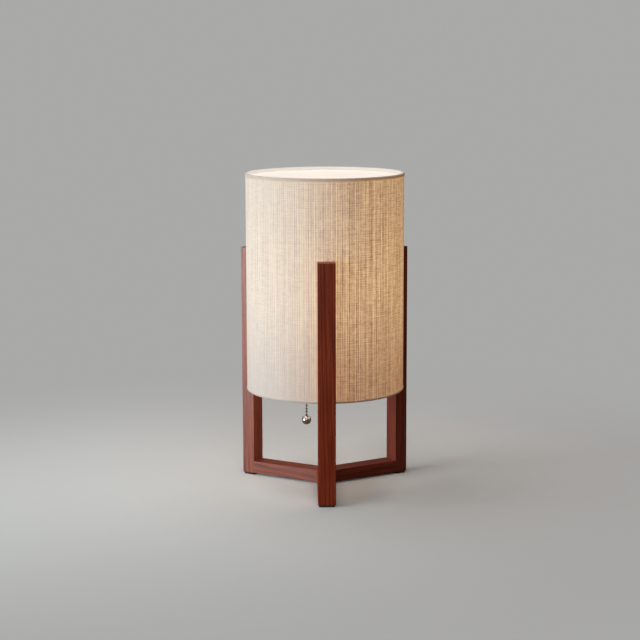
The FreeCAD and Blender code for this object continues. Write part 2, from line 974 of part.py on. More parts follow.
def upper_levels():
    return [first_bead - k * bead_pitch for k in range(upper_beads)]


def lower_levels():
    # below the knuckle: the hanging beads, the one in the ball's dimple and the one inside the ball
    return [knuckle_level - (k + 1) * bead_pitch for k in range(lower_beads + 2)]


def chain_knuckle():
    inner = bead_radius - bead_wall
    reach = 2 * bead_radius
    spread = reach * math.tan(math.radians(knuckle_angle))
    cones = [Part.makeCone(0, spread, reach, origin, V(0, 0, side)) for side in (-1, 1)]
    ring = Part.makeSphere(bead_radius).cut([Part.makeSphere(inner)] + cones)
    return ring.translated(V(0, 0, knuckle_level))


def upper_links():
    levels = upper_levels() + [knuckle_level]
    return [link(a, b) for a, b in zip(levels, levels[1:])]


def lower_links():
    levels = [knuckle_level] + lower_levels()
    return [link(a, b) for a, b in zip(levels, levels[1:])]


def chain_hanger():
    # a headed stem that hangs in the lever's fork, with a cup that holds the chain's first bead
    top = hanger_level + hanger_head_height
    cup_top = first_bead + cup_above
    cup_bottom = first_bead - cup_below
    body = lathe(
        [
            (0, top),
            (hanger_head_radius / 2, top),
            (hanger_head_radius, top - hanger_head_height / 2),
            (hanger_head_radius, hanger_level),
            (hanger_stem_radius, hanger_level),
            (hanger_stem_radius, cup_top),
            (cup_radius / 2, cup_top),
            (cup_radius, cup_top - cup_radius / 2),
            (cup_radius, cup_bottom),
            (0, cup_bottom),
        ]
    )
    hollow = cup_radius - cup_wall
    room = Part.makeCylinder(hollow, cup_below + overrun, V(0, 0, cup_bottom - overrun))
    dome = Part.makeSphere(hollow, V(0, 0, first_bead))
    return body.cut([room, dome])


def pull_ball():
    ball = Part.makeSphere(ball_radius, V(0, 0, ball_level))
    room = bead_radius + dimple_gap
    inside = dimple_level - bead_pitch
    cuts = [Part.makeSphere(room, V(0, 0, level)) for level in (dimple_level, inside)]
    cuts.append(Part.makeCylinder(ball_mouth, bead_pitch, V(0, 0, inside)))
    return ball.cut(cuts)


def to_chain(shape):
    return turn(shape.translated(V(chain_reach, 0, 0)), chain_angle)


# Bulb


def bulb_outline(inset):
    # the glass seen from the side, from its open neck to its crown, as edges
    ball = bulb_radius - inset
    waist = bulb_waist_radius - inset
    waist_level = cap_top + bulb_waist_height
    rise = bulb_middle - waist_level
    # the hollow curve of the neck: vertical at the waist and tangent to the ball
    hollow = (waist**2 + rise**2 - ball**2) / (2 * (ball - waist))
    centre = V(waist + hollow, 0, waist_level)
    crown = V(0, 0, bulb_middle)
    way = centre.sub(crown).normalize()
    meet = crown.add(V(way).multiply(ball))
    start_angle = math.atan2(meet.z - centre.z, meet.x - centre.x)
    mid_angle = (start_angle + math.pi) / 2
    neck_mid = centre.add(V(hollow * math.cos(mid_angle), 0, hollow * math.sin(mid_angle)))
    ball_angle = (math.atan2(way.z, way.x) + math.pi / 2) / 2
    ball_mid = crown.add(V(ball * math.cos(ball_angle), 0, ball * math.sin(ball_angle)))
    neck_foot = V(neck_radius - inset, 0, cap_top - neck_length)
    neck_rim = V(neck_radius - inset, 0, cap_top)
    waist_point = V(waist, 0, waist_level)
    return [
        Part.LineSegment(neck_foot, neck_rim).toShape(),
        Part.LineSegment(neck_rim, waist_point).toShape(),
        Part.Arc(waist_point, neck_mid, meet).toShape(),
        Part.Arc(meet, ball_mid, V(0, 0, bulb_middle + ball)).toShape(),
    ]


def bulb_glass():
    outer = bulb_outline(0)
    inner = bulb_outline(glass_thickness)
    top = V(0, 0, bulb_middle + bulb_radius)
    crown = Part.LineSegment(top, top - V(0, 0, glass_thickness)).toShape()
    foot_level = cap_top - neck_length
    rim = V(neck_radius, 0, foot_level)
    foot = Part.LineSegment(rim, rim - V(glass_thickness, 0, 0)).toShape()
    wire = Part.Wire(Part.__sortEdges__(outer + [crown] + inner + [foot]))
    return Part.Face(wire).revolve(origin, up, 360)


def bulb_cap():
    # rolled threads, each a rounded ridge round the cap
    edges = []
    for k in range(thread_turns):
        start = V(cap_root, 0, cap_bottom + k * thread_pitch)
        crest = V(cap_crest, 0, start.z + thread_pitch / 2)
        end = V(cap_root, 0, start.z + thread_pitch)
        edges.append(Part.Arc(start, crest, end).toShape())
    corners = [
        end,
        V(cap_root, 0, cap_top),
        V(cap_root - cap_wall, 0, cap_top),
        V(cap_root - cap_wall, 0, cap_bottom),
        V(cap_root, 0, cap_bottom),
    ]
    for a, b in zip(corners, corners[1:]):
        edges.append(Part.LineSegment(a, b).toShape())
    return Part.Face(Part.Wire(edges)).revolve(origin, up, 360)


def bulb_insulator():
    return lathe(
        [
            (0, bulb_level + bulb_tip_height),
            (insulator_radius, bulb_level + bulb_tip_height),
            (cap_root, cap_bottom - glue_gap),
            (0, cap_bottom - glue_gap),
        ]
    )


def bulb_tip():
    # a flat solder button
    top = bulb_level + bulb_tip_height - glue_gap
    return lathe(
        [
            (0, bulb_level),
            (bulb_tip_radius / 2, bulb_level),
            (bulb_tip_radius, bulb_level + bulb_tip_height / 2),
            (bulb_tip_radius, top),
            (0, top),
        ]
    )


def filament_stem():
    foot = cap_top - neck_length / 2
    top = cap_top + stem_height
    reach = neck_radius - glass_thickness - glue_gap
    return lathe(
        [
            (0, foot),
            (reach, foot),
            (stem_foot_radius, foot + cage_rod),
            (stem_radius, foot + stem_flare),
            (stem_radius, top),
            (0, top),
        ]
    )


def filament_cage():
    # two round plates on a rod
    bottom = cap_top + stem_height + glue_gap
    top = bottom + cage_plate + 2 * glue_gap + filament_length
    return lathe(
        [
            (0, bottom),
            (cage_radius, bottom),
            (cage_radius, bottom + cage_plate),
            (cage_rod, bottom + cage_plate),
            (cage_rod, top),
            (cage_radius, top),
            (cage_radius, top + cage_plate),
            (0, top + cage_plate),
        ]
    )


def filaments():
    bottom = cap_top + stem_height + cage_plate + 2 * glue_gap
    stick = rod(filament_radius, filament_length, glue_gap).translated(V(filament_reach, 0, bottom))
    return [turn(stick, k * 360 / filament_count) for k in range(filament_count)]


def bulb_driver():
    # a round board with a few components, in the cap
    bottom = cap_bottom + glue_gap
    board = Part.makeCylinder(driver_radius, driver_thickness, V(0, 0, bottom))
    half = driver_part_size / 2
    face = bottom + driver_thickness
    coil = box(-half, half, -half, half, face, face + driver_part_height)
    return board.fuse(coil).removeSplitter()


def turned(solids):
    return [turn(s, chain_angle) for s in solids]


def main():
    os.makedirs("parts", exist_ok=True)
    for name, angle in post_angles.items():
        save(name + "_post", turn(post(), angle))
        save(name + "_rail", turn(rail(), angle))
    save("foot_pads", around(foot_pad()))
    save("post_dowels", [turn(d, angle) for angle in post_angles.values() for d in post_dowel_pair()])
    save("mitre_dowels", around(mitre_dowel(mitre_dowel_radius, mitre_dowel_length)))

    save("shade_fabric", shade_fabric())
    save("shade_liner", shade_liner())
    save("shade_seam", shade_seam())
    inset = trim_thickness + glue_gap + ring_wire_radius
    save("top_ring", shade_ring(shade_top - inset))
    save("bottom_ring", shade_ring(shade_bottom + inset))
    save("top_trim", shade_trim(shade_top, top_trim_height))
    save("bottom_trim", shade_trim(shade_bottom, -bottom_trim_height))

    save("arm_bracket", arm_bracket())
    save("arm_screws", around(arm_screw()))
    save("post_spacers", around(post_spacer()))
    save("post_inserts", around(post_insert()))
    save("nipple", nipple())
    save("nipple_nuts", turned(nipple_nuts()))
    save("lock_washer", lock_washer())
    save("cord_bushing", cord_bushing())

    save("lampholder_base", turned([lampholder_base()]))
    save("lampholder_shroud", turned([lampholder_shroud()]))
    save("lampholder_screws", turned(lampholder_screws()))
    save("screw_shell", turned([screw_shell()]))
    save("shell_rivets", turned(shell_rivets()))
    save("centre_contact", turned([centre_contact()]))
    save("centre_rivet", turned([centre_rivet()]))
    save("terminal_plates", turned([terminal_plate(side) for side in (-1, 1)]))
    save("terminal_screws", turned([terminal_screw(side) for side in (-1, 1)]))
    save("floor_rivets", turned(floor_rivets()))
    save("switch_lever", turned([switch_lever()]))
    save("lever_pin", turned([lever_pin()]))
    save("pin_bush", turned([pin_bush()]))
    save("switch_rotor", turned([switch_rotor()]))
    save("contact_blades", turned([contact_blade(side) for side in (-1, 1)]))
    save("return_spring", turned([return_spring()]))
    save("chain_eyelet", turned([chain_eyelet()]))

    save("chain_hanger", to_chain(chain_hanger()))
    save("chain_upper_beads", [to_chain(bead(level)) for level in upper_levels()])
    save("chain_upper_links", [to_chain(s) for s in upper_links()])
    save("chain_knuckle", to_chain(chain_knuckle()))
    save("chain_lower_beads", [to_chain(bead(level)) for level in lower_levels()])
    save("chain_lower_links", [to_chain(s) for s in lower_links()])
    save("pull_ball", to_chain(pull_ball()))

    save("bulb_glass", bulb_glass())
    save("bulb_cap", bulb_cap())
    save("bulb_insulator", bulb_insulator())
    save("bulb_tip", bulb_tip())
    save("filament_stem", filament_stem())
    save("filament_cage", filament_cage())
    save("filaments", filaments())
    save("bulb_driver", bulb_driver())


main()
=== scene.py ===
import math

import bpy
import numpy
from mathutils import Matrix, Vector


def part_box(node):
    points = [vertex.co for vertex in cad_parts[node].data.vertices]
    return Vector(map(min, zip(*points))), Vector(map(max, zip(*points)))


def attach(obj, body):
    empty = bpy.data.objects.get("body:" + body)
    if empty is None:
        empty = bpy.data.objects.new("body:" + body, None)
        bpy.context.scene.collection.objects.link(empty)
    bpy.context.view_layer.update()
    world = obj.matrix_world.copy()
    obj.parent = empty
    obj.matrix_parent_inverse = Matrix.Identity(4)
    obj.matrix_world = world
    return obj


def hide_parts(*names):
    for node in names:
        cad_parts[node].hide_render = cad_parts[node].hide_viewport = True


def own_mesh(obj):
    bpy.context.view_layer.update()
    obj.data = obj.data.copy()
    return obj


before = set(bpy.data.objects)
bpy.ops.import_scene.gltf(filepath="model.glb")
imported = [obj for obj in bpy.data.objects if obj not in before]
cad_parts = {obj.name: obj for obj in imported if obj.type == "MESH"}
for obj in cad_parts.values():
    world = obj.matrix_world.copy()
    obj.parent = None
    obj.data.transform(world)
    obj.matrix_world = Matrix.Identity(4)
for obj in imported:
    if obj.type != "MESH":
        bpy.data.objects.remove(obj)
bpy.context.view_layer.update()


# Camera: the place and lens that a fit to the photograph's edges gave

cameraView = dict(
    lens=94.33,
    sensor=36.0,
    distance=2.2508,  # from the lantern's axis, level
    height=0.60117,
    yaw=-0.00305,  # radians, like the three below
    pitch=0.16439,  # downwards
    roll=-0.00292,
    orbit=-0.01610,  # the camera stands a little to the left of the front post's own line
)


def setCamera(view):
    orbit = Matrix.Rotation(view["orbit"], 3, "Z")
    level = Vector((math.sin(view["yaw"]), math.cos(view["yaw"]), 0))
    ahead = level * math.cos(view["pitch"]) - Vector((0, 0, math.sin(view["pitch"])))
    side = Vector((level.y, -level.x, 0))
    head = side.cross(ahead)
    right = side * math.cos(view["roll"]) + head * math.sin(view["roll"])
    top = head * math.cos(view["roll"]) - side * math.sin(view["roll"])
    turn = Matrix((orbit @ right, orbit @ top, orbit @ -ahead)).transposed()
    place = orbit @ Vector((0, -view["distance"], view["height"]))
    lensData = bpy.data.cameras.new("camera")
    lensData.lens = view["lens"]
    lensData.sensor_width = view["sensor"]
    camera = bpy.data.objects.new("camera", lensData)
    camera.matrix_world = Matrix.Translation(place) @ turn.to_4x4()
    bpy.context.scene.collection.objects.link(camera)
    bpy.context.scene.camera = camera


setCamera(cameraView)
print("camera set")


# Shader tools

class Wire:
    # one output of a node; sums and products of wires and numbers add Math nodes
    def __init__(self, tree, socket=None):
        self.tree = tree
        self.socket = socket

    def node(self, kind, settings=None, inputs=None, out=None):
        made = self.tree.nodes.new(kind)
        for name, value in (settings or {}).items():
            if name == "stops":
                setStops(made.color_ramp, value)
            else:
                setattr(made, name, value)
        for name, value in (inputs or {}).items():
            place = findSocket(made.inputs, name)
            if isinstance(value, Wire):
                self.tree.links.new(value.socket, place)
            else:
                place.default_value = value
        return Wire(self.tree, findSocket(made.outputs, out))

    def maths(self, operation, *values):
        return self.node("ShaderNodeMath", {"operation": operation}, dict(enumerate(values)))

    def __add__(self, other):
        return self.maths("ADD", self, other)

    def __sub__(self, other):
        return self.maths("SUBTRACT", self, other)

    def __rsub__(self, other):
        return self.maths("SUBTRACT", other, self)

    def __mul__(self, other):
        return self.maths("MULTIPLY", self, other)

    def __truediv__(self, other):
        return self.maths("DIVIDE", self, other)

    def __mod__(self, other):
        return self.maths("MODULO", self, other)

    def __pow__(self, other):
        return self.maths("POWER", self, other)

    def __abs__(self):
        return self.maths("ABSOLUTE", self)

    __radd__ = __add__
    __rmul__ = __mul__


def findSocket(sockets, name):
    # by its number, or the first in use that has the name, or the first in use
    if isinstance(name, int):
        return sockets[name]
    return next((s for s in sockets if s.enabled and name in (None, s.name)), None)


def setStops(ramp, stops):
    while len(ramp.elements) < len(stops):
        ramp.elements.new(1)
    for element, (place, colour) in zip(ramp.elements, stops):
        element.position = place
        element.color = (*colour, 1)


def newMaterial(name):
    made = bpy.data.materials.new(name)
    made.use_nodes = True
    made.node_tree.nodes.clear()
    return made, Wire(made.node_tree)


def finish(wire, surface):
    wire.node("ShaderNodeOutputMaterial", inputs={"Surface": surface})


def principled(wire, **inputs):
    named = {name.replace("_", " "): value for name, value in inputs.items()}
    finish(wire, wire.node("ShaderNodeBsdfPrincipled", inputs=named))


def objectPlace(wire):
    return wire.node("ShaderNodeTexCoord", out="Object")


def timesVector(place, other):
    return place.node("ShaderNodeVectorMath", {"operation": "MULTIPLY"}, {0: place, 1: other})


def stretched(place, x, y, z):
    return timesVector(place, (x, y, z))


def shifted(place, x, y, z):
    return place.node("ShaderNodeVectorMath", {"operation": "ADD"}, {0: place, 1: (x, y, z)})


def split(place):
    return [place.node("ShaderNodeSeparateXYZ", inputs={"Vector": place}, out=k) for k in range(3)]


def joined(x, y, z):
    return x.node("ShaderNodeCombineXYZ", inputs={"X": x, "Y": y, "Z": z})


def cloudy(place, scale, detail=2.0, roughness=0.5):
    amounts = {"Vector": place, "Scale": scale, "Detail": detail, "Roughness": roughness}
    return place.node("ShaderNodeTexNoise", inputs=amounts, out="Fac")


def spread(value, low, high, first=0.0, last=1.0, way="SMOOTHSTEP"):
    # takes low..high to first..last, and holds it beyond
    amounts = {"Value": value, "From Min": low, "From Max": high, "To Min": first, "To Max": last}
    return value.node("ShaderNodeMapRange", {"interpolation_type": way}, amounts)


def mixed(share, first, second):
    colours = [c if isinstance(c, Wire) else (*c, 1) for c in (first, second)]
    amounts = {"Factor": share, "A": colours[0], "B": colours[1]}
    return share.node("ShaderNodeMix", {"data_type": "RGBA"}, amounts)


def scaledColour(colour, amount):
    return colour.node("ShaderNodeVectorMath", {"operation": "SCALE"}, {0: colour, "Scale": amount})


def bumped(height, strength, depth):
    amounts = {"Height": height, "Strength": strength, "Distance": depth}
    return height.node("ShaderNodeBump", inputs=amounts)


def lesser(a, b):
    return a.maths("MINIMUM", a, b)


fineDepth = 0.0001  # of the marks on every smooth part


def dress(material, *nodes):
    for name in nodes:
        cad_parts[name].material_slots[0].material = material


# Timber frame: oiled walnut-coloured posts and rails

timber = dict(
    angles={"front": -90, "right": 30, "left": 150},  # where each leg stands round the axis, in degrees
    dark=(0.118, 0.0110, 0.0028),
    middle=(0.280, 0.0320, 0.0085),
    light=(0.425, 0.0700, 0.0230),
    colourStops=(0.05, 0.50, 0.98),  # where those three lie on the scale from late wood to early wood
    # painted light and shade: each side's colours are made lighter on the left and darker on the right, as
    # the light falls from the left, and its lacquer is fuller on the lit left side for more sheen there
    paintedSideLight={"front": (1.08, 0.97, 0.62), "right": (0.72, 0.70, 0.62), "left": (1.24, 1.50, 1.35)},
    lacquer={"front": 0.12, "right": 0.40, "left": 1.0},
    lacquerRoughness=0.55,
    roughness=0.42,
    gloss=0.35,
    pith=(0.031, -0.019),  # where the tree's heart lay, from the piece's middle
    pithStep=0.004,  # how much further off it lay for each next piece
    ringPitch=0.0034,
    ringLean=0.018,  # how far the rings lean across for each metre along the piece
    ringBend=0.006,
    ringWaver=1.3,  # in rings
    lateWood=(0.35, 0.93),  # where in a ring it darkens, and where it ends
    # sizes of the grain's marks, as noise scales
    bendScale=38,
    waverScale=160,
    streakScale=330,
    fibreScale=900,
    poreScale=2300,
    poreDark=0.55,
    wornLight=0.30,
    reliefDepth=0.0002,
)
postLow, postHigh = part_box("front_post")
railLow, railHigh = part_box("front_rail")


def woodFinish(name, side, lying, seed):
    made, wire = newMaterial(name)
    place = objectPlace(wire)
    # each side's copy of the timber is lightened or darkened by its painted light and shade
    dark, middle, light = (
        tuple(a * b for a, b in zip(timber[k], timber["paintedSideLight"][side])) for k in ("dark", "middle", "light")
    )
    turn = {"Vector": place, "Angle": -math.radians(timber["angles"][side])}
    turned = wire.node("ShaderNodeVectorRotate", {"rotation_type": "Z_AXIS"}, turn)
    out, across, height = split(turned)
    # the grain runs up a post and out along a rail
    if lying:
        along, deep = out, height - (railLow.z + railHigh.z) / 2
        halfDeep = (railHigh.z - railLow.z) / 2
    else:
        along, deep = height, out + (postLow.y + postHigh.y) / 2
        halfDeep = (postHigh.y - postLow.y) / 2
    grain = joined(across + seed * 0.37, deep + seed * 0.11, along * 0.05 + seed)
    bend = cloudy(grain, timber["bendScale"], 2)
    waver = cloudy(shifted(grain, 0.5, 0.3, 0.2), timber["waverScale"], 2)
    # growth rings about a pith that lies outside the piece and leans a little
    pithX, pithY = timber["pith"]
    ringX = across - (pithX + timber["pithStep"] * seed) + along * timber["ringLean"]
    ringY = deep - pithY + bend * timber["ringBend"]
    reach = (ringX * ringX + ringY * ringY) ** 0.5
    ring = (reach / timber["ringPitch"] + waver * timber["ringWaver"]) % 1.0
    darkens, ends = timber["lateWood"]
    late = spread(ring, darkens, ends) * spread(ring, ends, 1.0, 1, 0)
    fibre = cloudy(stretched(grain, 1, 1, 0.5), timber["fibreScale"], 3, 0.6)
    streak = cloudy(shifted(grain, 0.9, 0.1, 0.4), timber["streakScale"], 3, 0.6)
    vessel = cloudy(joined(across, deep, along * 0.07 + seed * 0.3), timber["poreScale"], 1, 0.4)
    pore = spread(vessel, 0.60, 0.70)
    body = 0.62 - late * 0.34 + (streak - 0.5) * 1.1 + (fibre - 0.5) * 0.7 + (bend - 0.5) * 0.5
    stops = list(zip(timber["colourStops"], (dark, middle, light)))
    colour = wire.node("ShaderNodeValToRGB", {"stops": stops}, {"Fac": body})
    colour = mixed(pore * timber["poreDark"], colour, dark)
    # the stain is rubbed a little thinner along the arrises
    arris = lesser(abs(across) / postHigh.x, abs(deep) / halfDeep)
    worn = spread(arris, 0.90, 1.0) * spread(fibre, 0.40, 0.62)
    colour = mixed(worn * timber["wornLight"], colour, light)
    roughness = timber["roughness"] + (fibre - 0.5) * 0.16 + pore * 0.14 - worn * 0.05
    relief = fibre * 0.5 + streak * 0.3 - pore * 0.9 - late * 0.15
    principled(
        wire, Base_Color=colour, Roughness=roughness, Specular_IOR_Level=timber["gloss"],
        Coat_Weight=timber["lacquer"][side], Coat_Roughness=timber["lacquerRoughness"],
        Normal=bumped(relief, 0.25, timber["reliefDepth"]),
    )
    return made


for number, side in enumerate(timber["angles"]):
    dress(woodFinish("walnut_post_" + side, side, False, number + 1), side + "_post")
    dress(woodFinish("walnut_rail_" + side, side, True, number + 4), side + "_rail")
print("timber finished")

dowelWood = dict(
    dark=(0.56, 0.38, 0.22),
    light=(0.80, 0.64, 0.44),
    fibreScale=900,
    patchScale=60,
    roughness=0.5,
)


def dowelFinish():
    made, wire = newMaterial("dowel_wood")
    place = objectPlace(wire)
    fibre = cloudy(stretched(place, 1, 1, 0.3), dowelWood["fibreScale"], 3)
    patch = cloudy(place, dowelWood["patchScale"])
    colour = mixed(fibre * 0.7 + patch * 0.3, dowelWood["dark"], dowelWood["light"])
    roughness = dowelWood["roughness"] + fibre * 0.25
    principled(wire, Base_Color=colour, Roughness=roughness, Normal=bumped(fibre, 0.3, fineDepth))
    return made


dress(dowelFinish(), "post_dowels", "mitre_dowels")


# Small parts: metals, mouldings, rubber

metals = {
    # tone, that of its dull patches, roughness and how far it varies, scale of the patches and of the marks
    "bright_steel": ((0.66, 0.65, 0.63), (0.47, 0.46, 0.45), 0.30, 0.16, 420, 3000),
    "bracket_metal": ((0.66, 0.65, 0.62), (0.52, 0.51, 0.48), 0.42, 0.12, 90, 2600),
    "yellow_brass": ((0.80, 0.60, 0.29), (0.44, 0.28, 0.11), 0.28, 0.20, 300, 2400),
    "chain_metal": ((0.25, 0.155, 0.11), (0.06, 0.037, 0.028), 0.26, 0.18, 900, 5200),
    "ball_metal": ((0.76, 0.69, 0.65), (0.56, 0.50, 0.46), 0.07, 0.07, 240, 3800),
    "cap_metal": ((0.70, 0.68, 0.64), (0.50, 0.48, 0.45), 0.26, 0.16, 260, 2600),
}


def metalFinish(name):
    tone, dullTone, roughness, change, patchScale, markScale = metals[name]
    made, wire = newMaterial(name)
    place = objectPlace(wire)
    patch = spread(cloudy(place, patchScale, 3, 0.6), 0.38, 0.68)
    marks = cloudy(stretched(place, 1, 1, 0.15), markScale, 2)
    colour = mixed(patch * 0.6 + (marks - 0.5) * 0.3, tone, dullTone)
    rough = roughness + patch * change + (marks - 0.5) * change
    principled(wire, Base_Color=colour, Metallic=1.0, Roughness=rough, Normal=bumped(marks, 0.06, fineDepth))
    return made


metalNodes = {
    "bright_steel": "top_ring bottom_ring arm_screws nipple nipple_nuts lock_washer lampholder_screws "
    "terminal_screws switch_lever lever_pin return_spring bulb_tip filament_cage",
    "bracket_metal": "arm_bracket",
    "yellow_brass": "post_inserts screw_shell shell_rivets centre_contact centre_rivet terminal_plates "
    "floor_rivets contact_blades chain_eyelet",
    "chain_metal": "chain_hanger chain_upper_beads chain_upper_links chain_knuckle chain_lower_beads "
    "chain_lower_links",
    "ball_metal": "pull_ball",
    "cap_metal": "bulb_cap",
}
for name, nodes in metalNodes.items():
    dress(metalFinish(name), *nodes.split())

plastics = {
    # tone, the tone of its flow marks, roughness, scale of the marks and of the grain, strength of the grain
    "moulding": ((0.030, 0.030, 0.033), (0.058, 0.056, 0.055), 0.34, 70, 2600, 0.12),
    "bushing_plastic": ((0.040, 0.040, 0.041), (0.070, 0.069, 0.067), 0.48, 120, 3400, 0.2),
    "pad_rubber": ((0.036, 0.026, 0.022), (0.085, 0.066, 0.055), 0.80, 160, 1800, 0.5),
    "circuit_board": ((0.05, 0.24, 0.12), (0.11, 0.36, 0.19), 0.40, 900, 2600, 0.2),
}


def plasticFinish(name):
    tone, markTone, roughness, markScale, grainScale, depth = plastics[name]
    made, wire = newMaterial(name)
    place = objectPlace(wire)
    mark = spread(cloudy(place, markScale, 4, 0.65), 0.42, 0.72)
    grain = cloudy(place, grainScale, 2)
    colour = mixed(mark * 0.7 + (grain - 0.5) * 0.5, tone, markTone)
    rough = roughness + (grain - 0.5) * 0.2 + mark * 0.08
    principled(wire, Base_Color=colour, Roughness=rough, Normal=bumped(grain, depth, fineDepth))
    return made


plasticNodes = {
    "moulding": "lampholder_base lampholder_shroud bulb_insulator",
    "bushing_plastic": "post_spacers cord_bushing pin_bush switch_rotor",
    "pad_rubber": "foot_pads",
    "circuit_board": "bulb_driver",
}
for name, nodes in plasticNodes.items():
    dress(plasticFinish(name), *nodes.split())

# the lever presses this spring down as the chain is pulled
spring = dict(node="return_spring", foot=(-0.0195, -0.0113, 0.1509), pressed=0.62)


def makeSpring():
    made = bpy.data.objects.new("leverSpring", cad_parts[spring["node"]].data.copy())
    bpy.context.scene.collection.objects.link(made)
    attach(made, "lantern")
    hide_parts(spring["node"])
    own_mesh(made)


makeSpring()
print("small parts finished")


# Bulb: a lit frosted globe

bulb = dict(
    radius=0.030,
    glass=(0.52, 0.50, 0.46),
    frost=(0.60, 0.58, 0.54),
    frostScale=1500,
    glow=(1.22, 0.98, 0.71),
    dimGlow=(0.98, 0.60, 0.31),
    glowReach=(0.006, 0.042),  # from the globe's middle, up and down, the glow dims over this stretch
    glassRoughness=0.42,
    stem=((0.86, 0.92, 0.92), (0.95, 0.97, 0.97)),
    stemRippleScale=400,
    filament=((0.90, 0.62, 0.16), (1.0, 0.78, 0.30)),
    filamentScale=1400,
)


def bulbFinish():
    made, wire = newMaterial("opal_glass")
    place = objectPlace(wire)
    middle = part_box("bulb_glass")[1].z - bulb["radius"]
    frosting = cloudy(place, bulb["frostScale"], 2)
    near = spread(abs(split(place)[2] - middle), *bulb["glowReach"], 1, 0)
    glow = mixed(near + (frosting - 0.5) * 0.12, bulb["dimGlow"], bulb["glow"])
    colour = mixed(frosting, bulb["glass"], bulb["frost"])
    roughness = bulb["glassRoughness"] + (frosting - 0.5) * 0.3
    principled(
        wire, Base_Color=colour, Roughness=roughness, Emission_Color=glow, Emission_Strength=1.0,
        Normal=bumped(frosting, 0.08, fineDepth),
    )
    return made


def stemFinish():
    made, wire = newMaterial("stem_glass")
    ripple = cloudy(objectPlace(wire), bulb["stemRippleScale"], 2)
    principled(
        wire, Base_Color=mixed(ripple, *bulb["stem"]), Roughness=0.04 + ripple * 0.08,
        Transmission_Weight=0.9, IOR=1.5, Normal=bumped(ripple, 0.1, fineDepth),
    )
    return made


def filamentFinish():
    made, wire = newMaterial("filament_yellow")
    coat = cloudy(objectPlace(wire), bulb["filamentScale"], 3)
    colour = mixed(coat, *bulb["filament"])
    principled(
        wire, Base_Color=colour, Roughness=0.55 + coat * 0.2, Emission_Color=colour, Emission_Strength=1.0,
        Normal=bumped(coat, 0.2, fineDepth),
    )
    return made


dress(bulbFinish(), "bulb_glass")
dress(stemFinish(), "filament_stem")
dress(filamentFinish(), "filaments")
print("bulb finished")


# Shade: slubby cloth on a stiff sheet, with turned edges and a lap at the back

cloth = dict(
    seed=11,
    yarns=424,  # upright yarns round the drum, a fuller and a finer one by turns
    perYarn=3,  # columns of points on each
    rows=56,
    thickness=0.0007,
    sunk=0.0001,  # how far the yarns' sides lie within the drum's radius
    relief=0.00006,  # how far a yarn's crown stands out
    side=-0.5,  # and its sides, as a share of that
    fuller=0.35,  # how much more a full yarn does
    slubRelief=0.000015,
    weftPitch=0.00155,
    bend=0.0015,  # height from its edge where it begins to be drawn in
    flat=0.0001,  # how far it lies within the drum's radius there
    drawn=0.0004,  # and at the edge itself
    bright=(0.295, 0.430, 0.535),  # the cloth's own colour at a thin place
    full=(0.600, 0.600, 0.565),  # and at a thick one
    fuzz=(0.50, 0.45, 0.38),  # and that of loose fibres
    thinGlow=(0.825, 0.525, 0.248),  # what comes through it from the bulb
    thickGlow=(0.20, 0.055, 0.0),
    lowGlow=(0.64, 0.53, 0.45),  # how much of it is left at the drum's lower edge, far from the bulb
    lowReach=(0.120, 0.285),  # the heights between which it grows to its full colour
    highGlow=0.89,  # and how much is left of it at the upper edge
    highReach=(0.30, 0.43),
    # how much each thing adds to the cloth's thickness where it is seen against the bulb
    shares=dict(yarn=0.19, warp=0.45, weft=0.62, turn=0.10, crossing=0.10),
    fuzzScale=1500,
    roughness=0.86,
    reliefDepth=0.00025,
)

yarnLook = dict(
    own=0.6,  # how much of a yarn's fullness is its own
    turn=(1.35, 0.4),  # how much comes of the turns, as a mean and a spread
    fullOnes=121,  # how many full yarns come round the drum besides
    wander=0.25,  # how unevenly
    full=(0.50, 0.4),  # and how much fuller they are, as a strength and a spread
    limit=1.9,
    longSlub=(5, 0.35),  # reach in rows, and strength
    shortSlub=(1.6, 0.25),
)


def smoothedRows(values, width):
    # a running mean along the yarns, with the spread brought back to one
    reach = int(3 * width)
    weights = numpy.exp(-0.5 * (numpy.arange(-reach, reach + 1) / width) ** 2)
    weights /= weights.sum()
    padded = numpy.pad(values, ((reach, reach), (0, 0)), mode="wrap")
    out = sum(w * padded[k:k + len(values)] for k, w in enumerate(weights))
    return out / out.std()


def makeYarns():
    # how thick each upright yarn is at each row: 0 is usual, 1 is a good deal thicker
    rng = numpy.random.default_rng(cloth["seed"])
    count, rows = cloth["yarns"], cloth["rows"] + 1
    numbers = numpy.arange(count)
    turns = numpy.where(numbers % 2, 1.0, -1.0)
    own = yarnLook["own"] * rng.normal(0, 1, count) + turns * numpy.abs(rng.normal(*yarnLook["turn"], count))
    # besides, every third or fourth yarn or so is a full one
    wander = numpy.cumsum(rng.normal(0, yarnLook["wander"], count))
    phase = 2 * math.pi * numbers * yarnLook["fullOnes"] / count + wander
    full, fullSpread = yarnLook["full"]
    own += full * numpy.sin(phase) * numpy.abs(rng.normal(1, fullSpread, count))
    own = (own - own.mean()) / own.std()
    thickness = yarnLook["limit"] * numpy.tanh(own / yarnLook["limit"])[None, :]
    for reach, strength in (yarnLook["longSlub"], yarnLook["shortSlub"]):
        thickness = thickness + strength * smoothedRows(rng.normal(0, 1, (rows, count)), reach)
    return thickness


